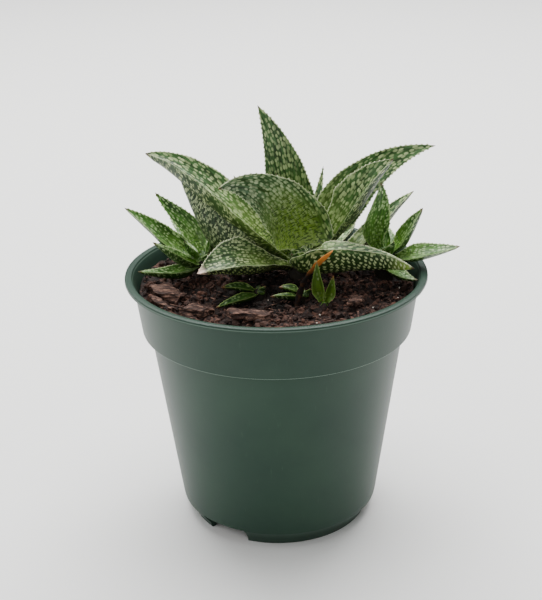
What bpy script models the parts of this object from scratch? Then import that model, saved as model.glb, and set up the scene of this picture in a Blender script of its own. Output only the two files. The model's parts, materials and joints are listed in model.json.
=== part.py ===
"""A spotted aloe and its offsets, growing in a tapered plastic nursery pot filled with soil.

Sizes are in millimetres and turned to metres as each mesh is made.
X runs to the right, Y to the back and Z up. The origin is the middle of the pot's flat underside.
"""
import math
from dataclasses import dataclass

import bmesh
import bpy
from mathutils import Matrix, Vector, noise
from mathutils.bvhtree import BVHTree

MM = 0.001
CLEAR = 0.3            # air left between pieces that touch
POT_SIDES = 48

# Pot
POT_HEIGHT = 132.0
LIP_RADIUS = 76.0
LIP_THICK = 2.4
MOUTH_RADIUS = 72.6
BAND_TOP_RADIUS = 71.9
BAND_LOW_RADIUS = 68.4
BAND_DEPTH = 28.7
WALL_TOP_RADIUS = 64.4
WALL_LOW_RADIUS = 51.1
WALL_LOW_Z = 8.8
WALL_THICK = 1.4
FOOT_RADIUS = 45.8
FOOT_WALL = 2.4
FOOT_FLARE = 0.8       # how far the foot widens before the wall starts
FOOT_FLARE_RISE = 3.0
PAD_RADIUS = 28.0      # flat middle of the underside, on the table with the foot ring
PAD_SLOPE = 2.0
FLOOR_RISE = 2.0       # height of the drain channel between the pad and the foot ring
FLOOR_THICK = 1.5
NOTCH_ANGLES = (-126.0, -6.0, 114.0)
NOTCH_SPAN = 29.0
NOTCH_INNER_RADIUS = 41.0
NOTCH_OUTER_RADIUS = 60.0   # beyond the foot, so that the cut goes right through
NOTCH_HEIGHT = 9.0
NOTCH_STEPS = 6
STEP_ROUND = 0.5       # rounding where the wall steps out to the band and the lip
STEP_RISE = 0.6
LIP_ROUND = 0.7

# Soil
SOIL_TOP = 124.5
SOIL_MOUND = 2.5       # how much the soil rises towards the plant
SOIL_MOUND_SPREAD = 34.0
SOIL_RINGS = 14
SOIL_ROOM = 0.6        # between the soil and the inside of the wall
SOIL_CROWDING = 0.9    # below 1 sets the rings closer near the middle
LUMP_SIZE = 11.0
LUMP_HEIGHT = 2.8
CRUMB_SIZE = 4.5
CRUMB_HEIGHT = 1.6
SOIL_DIP = 8.0              # no hollow in the soil is deeper than this
DROP_HEIGHT = 12.0          # bark chips are lowered from here onto the soil
DROP_STEP = 0.1
PROBE_SHARES = (0.25, 0.5, 0.75)

# Leaves
THIN_END = 0.25        # share of the full thickness that is left near a leaf's tip
THINNEST = 0.8
TOOTH_LIFT = 0.2       # a tooth points out, a little up and towards the leaf's tip
TOOTH_LEAN = 0.4
FINE_STEPS = 18
PLAIN_STEPS = 11
# Half outline points: across as a share of half the width, share of the margin's lift, share of thickness
FINE_SECTION = ((-1.0, 1.0, 0.0), (-0.5, 0.3, 0.0), (0.0, 0.0, 0.0), (0.5, 0.3, 0.0), (1.0, 1.0, 0.0),
                (0.6, 0.35, 0.75), (0.0, 0.0, 1.0), (-0.6, 0.35, 0.75))
PLAIN_SECTION = ((-1.0, 1.0, 0.0), (0.0, 0.0, 0.0), (1.0, 1.0, 0.0), (0.55, 0.25, 0.8), (0.0, 0.0, 1.0),
                 (-0.55, 0.25, 0.8))

# Stems
STEM_SIDES = 20
STEM_RINGS = 5
STEM_ROOT = 0.7        # the root part narrows to this share of the radius
HOLE_TOP = 20.0        # each hole is cut from here down through the soil

# The old dried leaf, from its foot on the soil to its free end
DRIED_FOOT = (9.5, -32.5, 124.9)
DRIED_TOP = (27.0, -31.0, 153.3)
DRIED_STEPS = 7
DRIED_BOW = (-3.0, 0.0, 1.5)
DRIED_SWAY = 1.2
DRIED_HALF = 1.8
DRIED_TAPER = 0.4
DRIED_TWIST = 70.0     # degrees from foot to free end

# Bark chips: roughness, then place, length, width, thickness, heading, tilt
BARK_GRAIN = 0.21
BARK_TAPER = 0.45      # share of the width that is lost at the ends
BARK_UNEVEN = (1.5, 0.5, 0.35)   # mm along, then shares of the width and the thickness
BARK = {
    "bark_chip_left": ((-54.0, -19.0), 19.0, 9.0, 3.0, -35, 6),
    "bark_chip_left_edge": ((-55.0, -32.0), 16.0, 4.0, 2.0, -48, 10),
    "bark_chip_front": ((-38.0, -42.0), 16.0, 8.0, 3.0, 10, 4),
    "bark_chip_middle": ((-13.0, -50.0), 20.0, 7.0, 3.0, -6, 3),
    "bark_chip_right": ((38.0, -36.0), 13.0, 6.0, 2.5, 70, 8),
    "bark_chip_back": ((-24.0, 52.0), 17.0, 8.0, 3.0, 25, 5),
}

# Colours, linear
POT_GREEN = (0.042, 0.078, 0.058, 1.0)
SOIL_BROWN = (0.030, 0.019, 0.015, 1.0)
STEM_GREEN = (0.110, 0.130, 0.060, 1.0)
GREEN = (0.105, 0.170, 0.085, 1.0)
YOUNG_GREEN = (0.145, 0.235, 0.080, 1.0)
BARK_BROWN = (0.110, 0.060, 0.042, 1.0)
DRIED_BROWN = (0.260, 0.110, 0.045, 1.0)
YOUNG_STEMS = ("front_pup", "small_pup", "tiny_pup")

# Stems: middle of the rounded crown, its radius, and how deep the root part goes below it
STEMS = {
    "main": ((15.0, 6.0, 130.0), 9.0, 24.0),
    "left_pup": ((-37.0, 13.0, 131.5), 4.8, 18.0),
    "right_pup": ((55.0, 7.0, 134.0), 5.0, 20.0),
    "front_pup": ((-8.0, -20.0, 127.5), 2.8, 12.0),
    "small_pup": ((13.5, -23.5, 127.0), 2.5, 12.0),
    "tiny_pup": ((22.5, -34.0, 125.5), 2.5, 12.0),
}


@dataclass
class Leaf:
    """One leaf. Directions are (azimuth, rise) in degrees, with azimuth counted from +X towards +Y."""
    stem: str
    leave: tuple           # direction in which it leaves the stem
    tip: tuple             # where it ends
    arrive: tuple          # direction at its tip
    width: float
    base: float = 10.0     # width at the stem
    thick: float = 5.0
    trough: float = 0.3    # how far the margins rise, as a share of half the width
    roll: float = 0.0      # turn of the upper face about the leaf's own length
    widest: float = 0.27   # where along its length it is widest
    broad: float = 1.7     # above 1 keeps it broad longer before the tip
    bend: tuple = (0.36, 0.36)   # how far the two directions carry, as shares of the reach
    tooth: float = 0.8


LEAVES = {
    "leaf_back_upright": Leaf("main", (102, 22), (-8.0, 26.0, 210.0), (168, 60), 28, base=6.5, trough=0.16,
                              roll=6, widest=0.3, bend=(0.4, 0.4)),
    "leaf_centre_broad": Leaf("main", (116, 58), (-27.0, -20.0, 180.5), (208, -26), 33, base=15, thick=4.5,
                              trough=0.56, widest=0.25, broad=1.35, bend=(0.29, 0.32)),
    "leaf_left_long": Leaf("main", (174, 36), (-64.0, 13.0, 189.8), (183, 12), 27, base=6.5, thick=5.0,
                           trough=0.5, roll=-6, bend=(0.38, 0.42)),
    "leaf_left_low": Leaf("main", (188, 7), (-47.0, 11.0, 176.5), (184, 54), 28, base=4.5, thick=3.4,
                          roll=56, widest=0.38, broad=2.4, bend=(0.52, 0.42)),
    "leaf_right_long": Leaf("main", (64, 28), (80.5, 15.0, 190.6), (2, 6), 25, base=6, widest=0.36,
                            trough=0.2, roll=12, broad=1.4, bend=(0.38, 0.42)),
    "leaf_right_trough": Leaf("main", (30, 40), (58.0, -1.0, 188.9), (-16, 40), 21, base=6.5, trough=0.6,
                              widest=0.5, bend=(0.36, 0.38)),
    "leaf_right_front": Leaf("main", (-98, 26), (68.0, -15.0, 137.0), (-2, -20), 26, base=11, thick=6.0,
                             trough=0.6, roll=23, widest=0.42, bend=(0.42, 0.42)),
    "leaf_left_front": Leaf("main", (-151, 19), (-38.0, -29.0, 141.5), (188, -22), 25, base=5, thick=6.0,
                            trough=0.5, roll=-14, widest=0.5, broad=1.6, bend=(0.36, 0.34)),
    "leaf_young": Leaf("main", (122, 39), (0.5, 20.0, 177.0), (130, 66), 9, base=4, thick=2.6, broad=1.5),
    "leaf_back_short": Leaf("main", (86, 5), (26.0, 52.0, 170.5), (60, 72), 8, base=3.6, thick=3.2),
    "leaf_right_low": Leaf("main", (25, 4), (71.5, 27.0, 163.6), (8, 34), 14, base=4.5, thick=4.0,
                           widest=0.5, broad=1.4),
    "leaf_back_right": Leaf("main", (56, 5), (44.0, 57.0, 141.0), (50, 10), 15, base=4.0, widest=0.7,
                            broad=1.3),
    "leaf_back_left": Leaf("main", (138, 6), (-22.0, 62.0, 163.0), (118, 34), 22, base=6),
    "left_pup_long": Leaf("left_pup", (176, 30), (-75.5, 9.0, 163.0), (180, 34), 14, 5, 3.2, roll=-20),
    "left_pup_upright": Leaf("left_pup", (105, 50), (-61.5, 26.0, 165.5), (165, 50), 12, 4.5, 3.0),
    "left_pup_front": Leaf("left_pup", (232, 16), (-60.5, -9.0, 151.0), (180, 30), 13, 5, 3.2, roll=-20),
    "left_pup_lying": Leaf("left_pup", (226, -8), (-69.0, -5.0, 134.0), (178, 4), 13, 5, 3.2),
    "left_pup_back": Leaf("left_pup", (100, 10), (-56.0, 44.0, 146.0), (125, 22), 12, 5, 3.2),
    "right_pup_upright": Leaf("right_pup", (165, 60), (52.0, -1.5, 177.3), (160, 84), 15, 6, 3.4, roll=-56,
                              widest=0.38),
    "right_pup_raised": Leaf("right_pup", (12, 42), (73.5, 4.0, 162.0), (5, 54), 14, 5, 3.2),
    "right_pup_level": Leaf("right_pup", (-14, 12), (92.0, -2.0, 143.5), (0, 10), 14, 5, 3.2, roll=14),
    "right_pup_low": Leaf("right_pup", (-75, -8), (70.0, -14.0, 130.5), (5, -10), 9, 4, 2.6),
    "right_pup_back": Leaf("right_pup", (80, 10), (58.0, 46.0, 142.0), (80, 20), 12, 5, 3.0),
    "front_pup_left": Leaf("front_pup", (170, 20), (-27.0, -22.0, 131.5), (185, -6), 7, 2.8, 2.4, tooth=0.4),
    "front_pup_low": Leaf("front_pup", (236, 8), (-29.0, -38.0, 127.5), (220, -6), 8, 2.8, 2.4, tooth=0.4),
    "small_pup_upper": Leaf("small_pup", (165, 34), (1.0, -23.0, 131.5), (180, -4), 6, 2.4, 2.2, tooth=0.3),
    "small_pup_lower": Leaf("small_pup", (225, 14), (-3.0, -30.0, 129.5), (190, -8), 6, 2.6, 2.2, tooth=0.3),
    "tiny_pup_tall": Leaf("tiny_pup", (165, 68), (19.3, -34.5, 149.3), (100, 84), 6, 2.6, 2.2, broad=1.5,
                          roll=-72, tooth=0.2),
    "tiny_pup_short": Leaf("tiny_pup", (10, 58), (27.3, -34.5, 141.8), (40, 72), 5, 2.6, 2.0, broad=1.5,
                           roll=78, tooth=0.2),
}


def clear_scene():
    for old in list(bpy.data.objects):
        bpy.data.objects.remove(old, do_unlink=True)


def finish(name, colour, roughness):
    """One Principled material for a kind of surface."""
    material = bpy.data.materials.new(name)
    material.use_nodes = True
    shader = material.node_tree.nodes["Principled BSDF"]
    shader.inputs["Base Color"].default_value = colour
    shader.inputs["Roughness"].default_value = roughness
    shader.inputs["Metallic"].default_value = 0.0
    return material


def add_piece(name, shape, material, place=Vector(), parent=None, angle=35.0):
    """Turn a bmesh, in millimetres about `place`, into one closed named object."""
    bmesh.ops.recalc_face_normals(shape, faces=shape.faces)
    bmesh.ops.scale(shape, vec=(MM, MM, MM), verts=shape.verts)
    mesh = bpy.data.meshes.new(name)
    shape.to_mesh(mesh)
    shape.free()
    mesh.shade_smooth()
    mesh.set_sharp_from_angle(angle=math.radians(angle))
    piece = bpy.data.objects.new(name, mesh)
    piece.location = Vector(place) * MM
    piece.parent = parent
    mesh.materials.append(material)
    bpy.context.scene.collection.objects.link(piece)
    return piece


def turned(profile, sides):
    """Spin a closed outline, given as (radius, height) points, about the Z axis."""
    shape = bmesh.new()
    points = [shape.verts.new((radius, 0.0, height)) for radius, height in profile]
    edges = [shape.edges.new(pair) for pair in zip(points, points[1:])]
    bmesh.ops.spin(shape, geom=points + edges, cent=(0, 0, 0), axis=(0, 0, 1),
                   angle=math.tau, steps=sides, use_merge=True, use_duplicate=False)
    bmesh.ops.remove_doubles(shape, verts=shape.verts, dist=0.001)
    return shape


def apply_boolean(piece, cutter):
    """Cut one shape out of a piece for good and drop the cutter."""
    cut = piece.modifiers.new("cut", 'BOOLEAN')
    cut.operation = 'DIFFERENCE'
    cut.solver = 'EXACT'
    cut.object = cutter
    bpy.context.view_layer.update()
    graph = bpy.context.evaluated_depsgraph_get()
    mesh = bpy.data.meshes.new_from_object(piece.evaluated_get(graph))
    piece.modifiers.clear()
    piece.data = mesh
    bpy.data.objects.remove(cutter, do_unlink=True)


def sector(inner, outer, low, high, middle):
    """A block bent round the Z axis, used to cut a notch."""
    shape = bmesh.new()
    corners = ((inner, low), (outer, low), (outer, high), (inner, high))
    start = math.radians(middle - NOTCH_SPAN / 2)
    verts = [shape.verts.new((r * math.cos(start), r * math.sin(start), z)) for r, z in corners]
    face = shape.faces.new(verts)
    bmesh.ops.spin(shape, geom=[face], cent=(0, 0, 0), axis=(0, 0, 1),
                   angle=math.radians(NOTCH_SPAN), steps=NOTCH_STEPS, use_duplicate=False)
    return shape


def inner_wall_radius(height):
    """Radius of the pot's inside at a height above the foot."""
    band_low = POT_HEIGHT - BAND_DEPTH
    if height >= band_low:
        share = (height - band_low) / BAND_DEPTH
        return BAND_LOW_RADIUS - WALL_THICK + share * (BAND_TOP_RADIUS - BAND_LOW_RADIUS)
    share = (height - WALL_LOW_Z) / (band_low - WALL_LOW_Z)
    return WALL_LOW_RADIUS - WALL_THICK + share * (WALL_TOP_RADIUS - WALL_LOW_RADIUS)


def make_pot(material, parent):
    band_low = POT_HEIGHT - BAND_DEPTH
    lip_low = POT_HEIGHT - LIP_THICK
    outside = [
        (0.0, 0.0), (PAD_RADIUS, 0.0), (PAD_RADIUS + PAD_SLOPE, FLOOR_RISE),
        (FOOT_RADIUS - FOOT_WALL - FOOT_FLARE, FLOOR_RISE), (FOOT_RADIUS - FOOT_WALL, 0.0),
        (FOOT_RADIUS, 0.0), (FOOT_RADIUS + FOOT_FLARE, FOOT_FLARE_RISE), (WALL_LOW_RADIUS, WALL_LOW_Z),
        (WALL_TOP_RADIUS, band_low - STEP_ROUND), (BAND_LOW_RADIUS - STEP_ROUND, band_low),
        (BAND_LOW_RADIUS, band_low + STEP_RISE), (BAND_TOP_RADIUS, lip_low - STEP_ROUND),
        (BAND_TOP_RADIUS + STEP_RISE, lip_low), (LIP_RADIUS - STEP_ROUND, lip_low),
        (LIP_RADIUS, lip_low + STEP_RISE), (LIP_RADIUS, POT_HEIGHT - LIP_ROUND),
        (LIP_RADIUS - LIP_ROUND, POT_HEIGHT),
    ]
    inside = [
        (MOUTH_RADIUS + 0.5, POT_HEIGHT), (MOUTH_RADIUS - 0.4, POT_HEIGHT - 0.8),
        (inner_wall_radius(lip_low - 2.0), lip_low - 2.0),
        (inner_wall_radius(band_low + 1.5), band_low + 1.5),
        (inner_wall_radius(band_low - 1.0), band_low - 1.0),
        (WALL_LOW_RADIUS - WALL_THICK, WALL_LOW_Z + 0.6),
        (FOOT_RADIUS + 0.4, FLOOR_RISE + FLOOR_THICK + 1.0),
        (FOOT_RADIUS - 2.0, FLOOR_RISE + FLOOR_THICK),
        (PAD_RADIUS + 2.4, FLOOR_RISE + FLOOR_THICK), (PAD_RADIUS + 0.4, FLOOR_THICK),
        (0.0, FLOOR_THICK),
    ]
    pot = add_piece("pot", turned(outside + inside, POT_SIDES), material, parent=parent, angle=28.0)
    for angle in NOTCH_ANGLES:
        block = sector(NOTCH_INNER_RADIUS, NOTCH_OUTER_RADIUS, -NOTCH_HEIGHT, NOTCH_HEIGHT, angle)
        apply_boolean(pot, add_piece("notch", block, material))
    return pot


def soil_height(x, y):
    """Height of the soil's surface: a low mound round the plant, with lumps and crumbs."""
    main = STEMS["main"][0]
    away = math.hypot(x - main[0], y - main[1]) / SOIL_MOUND_SPREAD
    lump = noise.noise(Vector((x / LUMP_SIZE, y / LUMP_SIZE, 3.7)))
    crumb = noise.noise(Vector((x / CRUMB_SIZE, y / CRUMB_SIZE, 9.1)))
    return SOIL_TOP + SOIL_MOUND * math.exp(-away * away) + LUMP_HEIGHT * lump + CRUMB_HEIGHT * crumb


def make_soil(material, parent):
    """A plug that fills the pot, with a plain hole for each stem."""
    low = FLOOR_RISE + FLOOR_THICK + CLEAR
    wall_foot = WALL_LOW_Z + 0.9
    step_z = POT_HEIGHT - BAND_DEPTH
    rim = inner_wall_radius(SOIL_TOP) - SOIL_ROOM
    profile = [(0.0, low), (FOOT_RADIUS - 2.3, low), (inner_wall_radius(wall_foot) - SOIL_ROOM, wall_foot),
               (inner_wall_radius(step_z - 1.2) - SOIL_ROOM, step_z - 1.2),
               (inner_wall_radius(step_z + 2.0) - SOIL_ROOM, step_z + 2.0), (rim, SOIL_TOP)]
    profile += [(rim * (1.0 - ring / SOIL_RINGS) ** SOIL_CROWDING, SOIL_TOP) for ring in range(1, SOIL_RINGS)]
    profile.append((0.0, SOIL_TOP))
    shape = turned(profile, POT_SIDES)
    for vert in shape.verts:
        if vert.co.z > SOIL_TOP - 0.01:
            vert.co.z = soil_height(vert.co.x, vert.co.y)
    soil = add_piece("soil", shape, material, parent=parent, angle=60.0)
    for middle, radius, depth in STEMS.values():
        low, wide = -depth - CLEAR, radius + CLEAR
        hole = turned([(0.0, low), (wide, low), (wide, HOLE_TOP), (0.0, HOLE_TOP)], STEM_SIDES)
        apply_boolean(soil, add_piece("hole", hole, material, place=middle))
    return soil


def make_stem(name, material, parent):
    """A short stem with a rounded crown, which the leaves sit round."""
    middle, radius, depth = STEMS[name]
    profile = [(0.0, -depth), (STEM_ROOT * radius, -depth), (radius, -STEM_ROOT * depth), (radius, 0.0)]
    for ring in range(1, STEM_RINGS):
        angle = 0.5 * math.pi * ring / STEM_RINGS
        profile.append((radius * math.cos(angle), radius * math.sin(angle)))
    profile.append((0.0, radius))
    return add_piece("stem_" + name, turned(profile, STEM_SIDES), material, middle, parent)


def direction(azimuth, rise):
    """A unit vector from two angles in degrees."""
    turn, tilt = math.radians(azimuth), math.radians(rise)
    flat = math.cos(tilt)
    return Vector((flat * math.cos(turn), flat * math.sin(turn), math.sin(tilt)))


def spine_frames(leaf, tip, steps):
    """Points, tangents and upper-face normals along a leaf that starts at its own origin."""
    first = direction(*leaf.leave) * leaf.bend[0] * tip.length
    second = tip - direction(*leaf.arrive) * leaf.bend[1] * tip.length
    normal = direction(leaf.leave[0], leaf.leave[1] + 90.0)
    frames = []
    for step in range(steps + 1):
        t = step / steps
        s = 1.0 - t
        point = 3 * s * s * t * first + 3 * s * t * t * second + t ** 3 * tip
        tangent = (s * s * first + 2 * s * t * (second - first) + t * t * (tip - second)).normalized()
        normal = (normal - normal.dot(tangent) * tangent).normalized()
        frames.append((t, point, tangent, normal))
    return frames


def leaf_width(leaf, t):
    """Share of the full width at t: narrow at the stem, then broad, then pointed at the tip."""
    if t < leaf.widest:
        start, rise = leaf.base / leaf.width, t / leaf.widest
        return start + (1.0 - start) * rise * rise * (3.0 - 2.0 * rise)
    return 1.0 - ((t - leaf.widest) / (1.0 - leaf.widest)) ** leaf.broad


def make_leaf(name, leaf, material, parent):
    """One thick pointed leaf: a trough above, a keel below, and teeth along both margins."""
    middle, radius, _ = STEMS[leaf.stem]
    start = Vector(middle) + direction(*leaf.leave) * (radius + CLEAR)
    large = leaf.stem == "main"
    steps = FINE_STEPS if large else PLAIN_STEPS
    outline = FINE_SECTION if large else PLAIN_SECTION
    count = len(outline)
    margins = [index for index, point in enumerate(outline) if abs(point[0]) == 1.0]
    shape = bmesh.new()
    rings = []
    frames = spine_frames(leaf, Vector(leaf.tip) - start, steps)
    for t, point, tangent, normal in frames[:-1]:
        share = leaf_width(leaf, t)
        half = 0.5 * leaf.width * share
        deep = max(leaf.thick * (THIN_END + (1.0 - THIN_END) * share), THINNEST)
        up = Matrix.Rotation(math.radians(leaf.roll), 3, tangent) @ normal
        across = tangent.cross(up)
        rim = leaf.trough * half
        ring = [shape.verts.new(point + across * (half * x) + up * (rim * lift - deep * sink))
                for x, lift, sink in outline]
        rings.append((ring, across, up, tangent))
    peak = shape.verts.new(frames[-1][1])
    shape.faces.new(rings[0][0])
    for (near, across, up, tangent), (far, *_) in zip(rings, rings[1:]):
        teeth = {}
        for index in margins:
            out = math.copysign(1.0, outline[index][0])
            middle_point = (near[index].co + far[index].co) / 2
            point = middle_point + (across * out + TOOTH_LIFT * up + TOOTH_LEAN * tangent) * leaf.tooth
            teeth[index] = shape.verts.new(point)
        for index in range(count):
            after = (index + 1) % count
            a, b, c, d = near[index], near[after], far[after], far[index]
            if index in teeth:
                tooth = teeth[index]
                triangles = ((a, tooth, b), (tooth, c, b), (tooth, d, c))
            elif after in teeth:
                tooth = teeth[after]
                triangles = ((a, b, tooth), (a, tooth, d), (tooth, c, d))
            elif abs(outline[index][0]) < abs(outline[after][0]):
                triangles = ((a, b, d), (b, c, d))
            else:
                triangles = ((a, b, c), (a, c, d))
            for corners in triangles:
                shape.faces.new(corners)
    last = rings[-1][0]
    for index in range(count):
        shape.faces.new((last[index], last[(index + 1) % count], peak))
    return add_piece(name, shape, material, start, parent, angle=50.0)


def probe_points(shape):
    """Corners and edge points that stand for a surface when distances are measured."""
    points = [vert.co.copy() for vert in shape.verts]
    for share in PROBE_SHARES:
        points += [edge.verts[0].co.lerp(edge.verts[1].co, share) for edge in shape.edges]
    return points


def resting_height(shape, x, y, ground):
    """Lower a shape over the ground in small steps until its clearance is used up."""
    surface = bmesh.new()
    surface.from_mesh(ground.data)
    bmesh.ops.scale(surface, vec=(1 / MM, 1 / MM, 1 / MM), verts=surface.verts)
    below = BVHTree.FromBMesh(surface)
    itself = BVHTree.FromBMesh(shape)
    own = probe_points(shape)
    reach = max(point.length for point in own) + CLEAR
    near = [point for point in probe_points(surface)
            if (point.xy - Vector((x, y))).length < reach and point.z > SOIL_TOP - SOIL_DIP]
    surface.free()
    place = Vector((x, y, SOIL_TOP + DROP_HEIGHT))
    while True:
        place.z -= DROP_STEP
        gap = min(min(below.find_nearest(point + place)[3] for point in own),
                  min((itself.find_nearest(point - place)[3] for point in near), default=CLEAR + 1.0))
        if gap < CLEAR + DROP_STEP:
            return place.z


def make_bark(name, values, soil, material, parent):
    """A flat splintery chip of bark, lying on the soil."""
    (x, y), length, wide, thick, heading, tilt = values
    shape = bmesh.new()
    bmesh.ops.create_cube(shape, size=1.0)
    lengthways = [edge for edge in shape.edges if abs((edge.verts[0].co - edge.verts[1].co).x) > 0.5]
    bmesh.ops.subdivide_edges(shape, edges=lengthways, cuts=3, use_grid_fill=True)
    bmesh.ops.scale(shape, vec=(length, wide, thick), verts=shape.verts)
    for vert in shape.verts:
        rough = [noise.noise(vert.co * BARK_GRAIN + Vector((x, y, shift))) for shift in (0.0, 40.0, 80.0)]
        end = 1.0 - BARK_TAPER * (2.0 * vert.co.x / length) ** 2
        vert.co.y = vert.co.y * end + BARK_UNEVEN[1] * wide * rough[1]
        vert.co.x += BARK_UNEVEN[0] * rough[0]
        vert.co.z += BARK_UNEVEN[2] * thick * rough[2]
    turn = Matrix.Rotation(math.radians(heading), 3, 'Z') @ Matrix.Rotation(math.radians(tilt), 3, 'Y')
    bmesh.ops.rotate(shape, cent=(0, 0, 0), matrix=turn, verts=shape.verts)
    return add_piece(name, shape, material, (x, y, resting_height(shape, x, y, soil)), parent, angle=30.0)


def make_dried_leaf(material, parent):
    """A shrivelled strip, the remains of an old leaf, standing in front of the crown."""
    shape = bmesh.new()
    rings = []
    for step in range(DRIED_STEPS + 1):
        t = step / DRIED_STEPS
        point = Vector(DRIED_FOOT).lerp(Vector(DRIED_TOP), t)
        point += Vector(DRIED_BOW) * math.sin(math.pi * t) + Vector((0, DRIED_SWAY, 0)) * math.sin(5 * t)
        half = DRIED_HALF * (1.0 - DRIED_TAPER * t) * (0.8 + 0.3 * math.sin(9 * t))
        turn = Matrix.Rotation(math.radians(DRIED_TWIST * t), 3, 'Z')
        across, deep = turn @ Vector((half, 0, -0.3 * half)), turn @ Vector((0, 0.5, 0.2))
        rings.append([shape.verts.new(point + across * x + deep * y)
                      for x, y in ((-1, -0.7), (1, -0.7), (1, 0.7), (-1, 0.7))])
    for near, far in zip(rings, rings[1:]):
        for index in range(4):
            after = (index + 1) % 4
            shape.faces.new((near[index], near[after], far[after]))
            shape.faces.new((near[index], far[after], far[index]))
    shape.faces.new(rings[0])
    shape.faces.new(rings[-1])
    return add_piece("dried_leaf", shape, material, parent=parent)


def build():
    clear_scene()
    plant = bpy.data.objects.new("potted_plant", None)
    bpy.context.scene.collection.objects.link(plant)
    make_pot(finish("green_plastic", POT_GREEN, 0.5), plant)
    soil = make_soil(finish("potting_soil", SOIL_BROWN, 0.95), plant)
    stem_finish = finish("stem_skin", STEM_GREEN, 0.6)
    for name in STEMS:
        make_stem(name, stem_finish, plant)
    leaf_finish = finish("spotted_leaf", GREEN, 0.45)
    young_finish = finish("young_leaf", YOUNG_GREEN, 0.45)
    for name, leaf in LEAVES.items():
        make_leaf(name, leaf, young_finish if leaf.stem in YOUNG_STEMS else leaf_finish, plant)
    bark_finish = finish("bark", BARK_BROWN, 0.9)
    for name, values in BARK.items():
        make_bark(name, values, soil, bark_finish, plant)
    make_dried_leaf(finish("dried_leaf_skin", DRIED_BROWN, 0.8), plant)


build()
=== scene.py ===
import json
import math
import random
from functools import partial
from itertools import count

import bmesh
import bpy
from mathutils import Matrix, Vector, noise

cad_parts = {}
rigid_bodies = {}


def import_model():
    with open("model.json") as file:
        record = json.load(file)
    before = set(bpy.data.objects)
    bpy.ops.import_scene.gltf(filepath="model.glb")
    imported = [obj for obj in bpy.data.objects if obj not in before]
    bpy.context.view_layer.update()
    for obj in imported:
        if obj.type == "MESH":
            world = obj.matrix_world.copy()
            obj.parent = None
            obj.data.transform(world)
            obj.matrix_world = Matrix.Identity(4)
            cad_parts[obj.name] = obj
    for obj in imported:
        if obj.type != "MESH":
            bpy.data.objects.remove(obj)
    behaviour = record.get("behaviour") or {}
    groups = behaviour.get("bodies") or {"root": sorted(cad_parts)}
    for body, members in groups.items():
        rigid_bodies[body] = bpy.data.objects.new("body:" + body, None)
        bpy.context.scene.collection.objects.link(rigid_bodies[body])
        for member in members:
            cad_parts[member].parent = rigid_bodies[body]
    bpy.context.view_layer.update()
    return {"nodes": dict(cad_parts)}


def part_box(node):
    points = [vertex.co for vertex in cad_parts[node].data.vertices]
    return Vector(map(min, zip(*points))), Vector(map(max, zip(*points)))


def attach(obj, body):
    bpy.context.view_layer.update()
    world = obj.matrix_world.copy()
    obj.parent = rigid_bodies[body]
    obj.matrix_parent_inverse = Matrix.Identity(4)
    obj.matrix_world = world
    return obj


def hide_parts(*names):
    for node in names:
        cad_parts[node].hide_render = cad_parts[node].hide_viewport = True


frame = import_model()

mm = 0.001
slack = 0.01     # mm, where a height or radius is compared
random.seed(11)
print("frame loaded:", len(frame["nodes"]), "nodes")


# small helpers

colourMix = {"out": 2, "data_type": 'RGBA'}      # settings that many nodes share
softRange = {"interpolation_type": 'SMOOTHSTEP'}
flatNoise = {"noise_dimensions": '2D'}
flatCells = {"voronoi_dimensions": '2D'}
times = {"operation": 'MULTIPLY'}
plus = {"operation": 'ADD'}
minus = {"operation": 'SUBTRACT'}
timesPlus = {"operation": 'MULTIPLY_ADD'}


def linear(hexText):
    # sRGB hex to the linear colour that a shader takes
    values = [int(hexText[i:i + 2], 16) / 255 for i in (0, 2, 4)]
    return tuple(v / 12.92 if v <= 0.04045 else ((v + 0.055) / 1.055) ** 2.4 for v in values) + (1.0,)


def between(low, high, top=1.0, bottom=0.0):
    # the range of a value over which a mask goes from bottom to top
    return {"From Min": low, "From Max": high, "To Max": top, "To Min": bottom}


def setInputs(tree, node, inputs):
    # an input is a plain value, a hex colour or another node's output
    for key, value in inputs.items():
        if isinstance(value, bpy.types.NodeSocket):
            tree.links.new(value, node.inputs[key])
        else:
            node.inputs[key].default_value = linear(value) if isinstance(value, str) else value


def addNode(tree, kind, inputs=None, out=0, stops=(), **settings):
    # one node with its settings, links and colour stops, and the output that is wanted of it
    made = tree.nodes.new("ShaderNode" + kind)
    for key, value in settings.items():
        setattr(made, key, value)
    for index, (position, colour) in enumerate(stops):
        elements = made.color_ramp.elements
        element = elements[index] if index < len(elements) else elements.new(position)
        element.position, element.color = position, linear(colour)
    setInputs(tree, made, inputs or {})
    return made.outputs[out]


def startMaterial(name, values):
    # a Principled material, with the two helpers bound to its node tree and shader
    material = bpy.data.materials.new(name)
    material.use_nodes = True
    tree = material.node_tree
    dress = partial(setInputs, tree, tree.nodes["Principled BSDF"])
    dress(values)
    return material, partial(addNode, tree), dress


def smooth(value):
    value = min(max(value, 0.0), 1.0)
    return value * value * (3.0 - 2.0 * value)


def spinOutline(bm, outline, sides, weld=0.002):
    # radius and height points turned once round the upright axis
    points = [bm.verts.new((r, 0, z)) for r, z in outline]
    lines = [bm.edges.new(pair) for pair in zip(points, points[1:])]
    bmesh.ops.spin(bm, geom=points + lines, cent=(0, 0, 0), axis=(0, 0, 1), angle=math.tau,
                   steps=sides, use_merge=True, use_duplicate=False)
    bmesh.ops.remove_doubles(bm, verts=bm.verts, dist=weld)


def closeSkin(bm, weld):
    # a rolled grid to a closed skin: its long seam is welded, then its two ends are filled
    bmesh.ops.remove_doubles(bm, verts=bm.verts, dist=weld * mm)
    openEdges = [edge for edge in bm.edges if edge.is_boundary]
    bmesh.ops.holes_fill(bm, edges=openEdges, sides=0)


def toMetres(bm):
    bmesh.ops.scale(bm, vec=(mm, mm, mm), verts=bm.verts)


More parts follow.
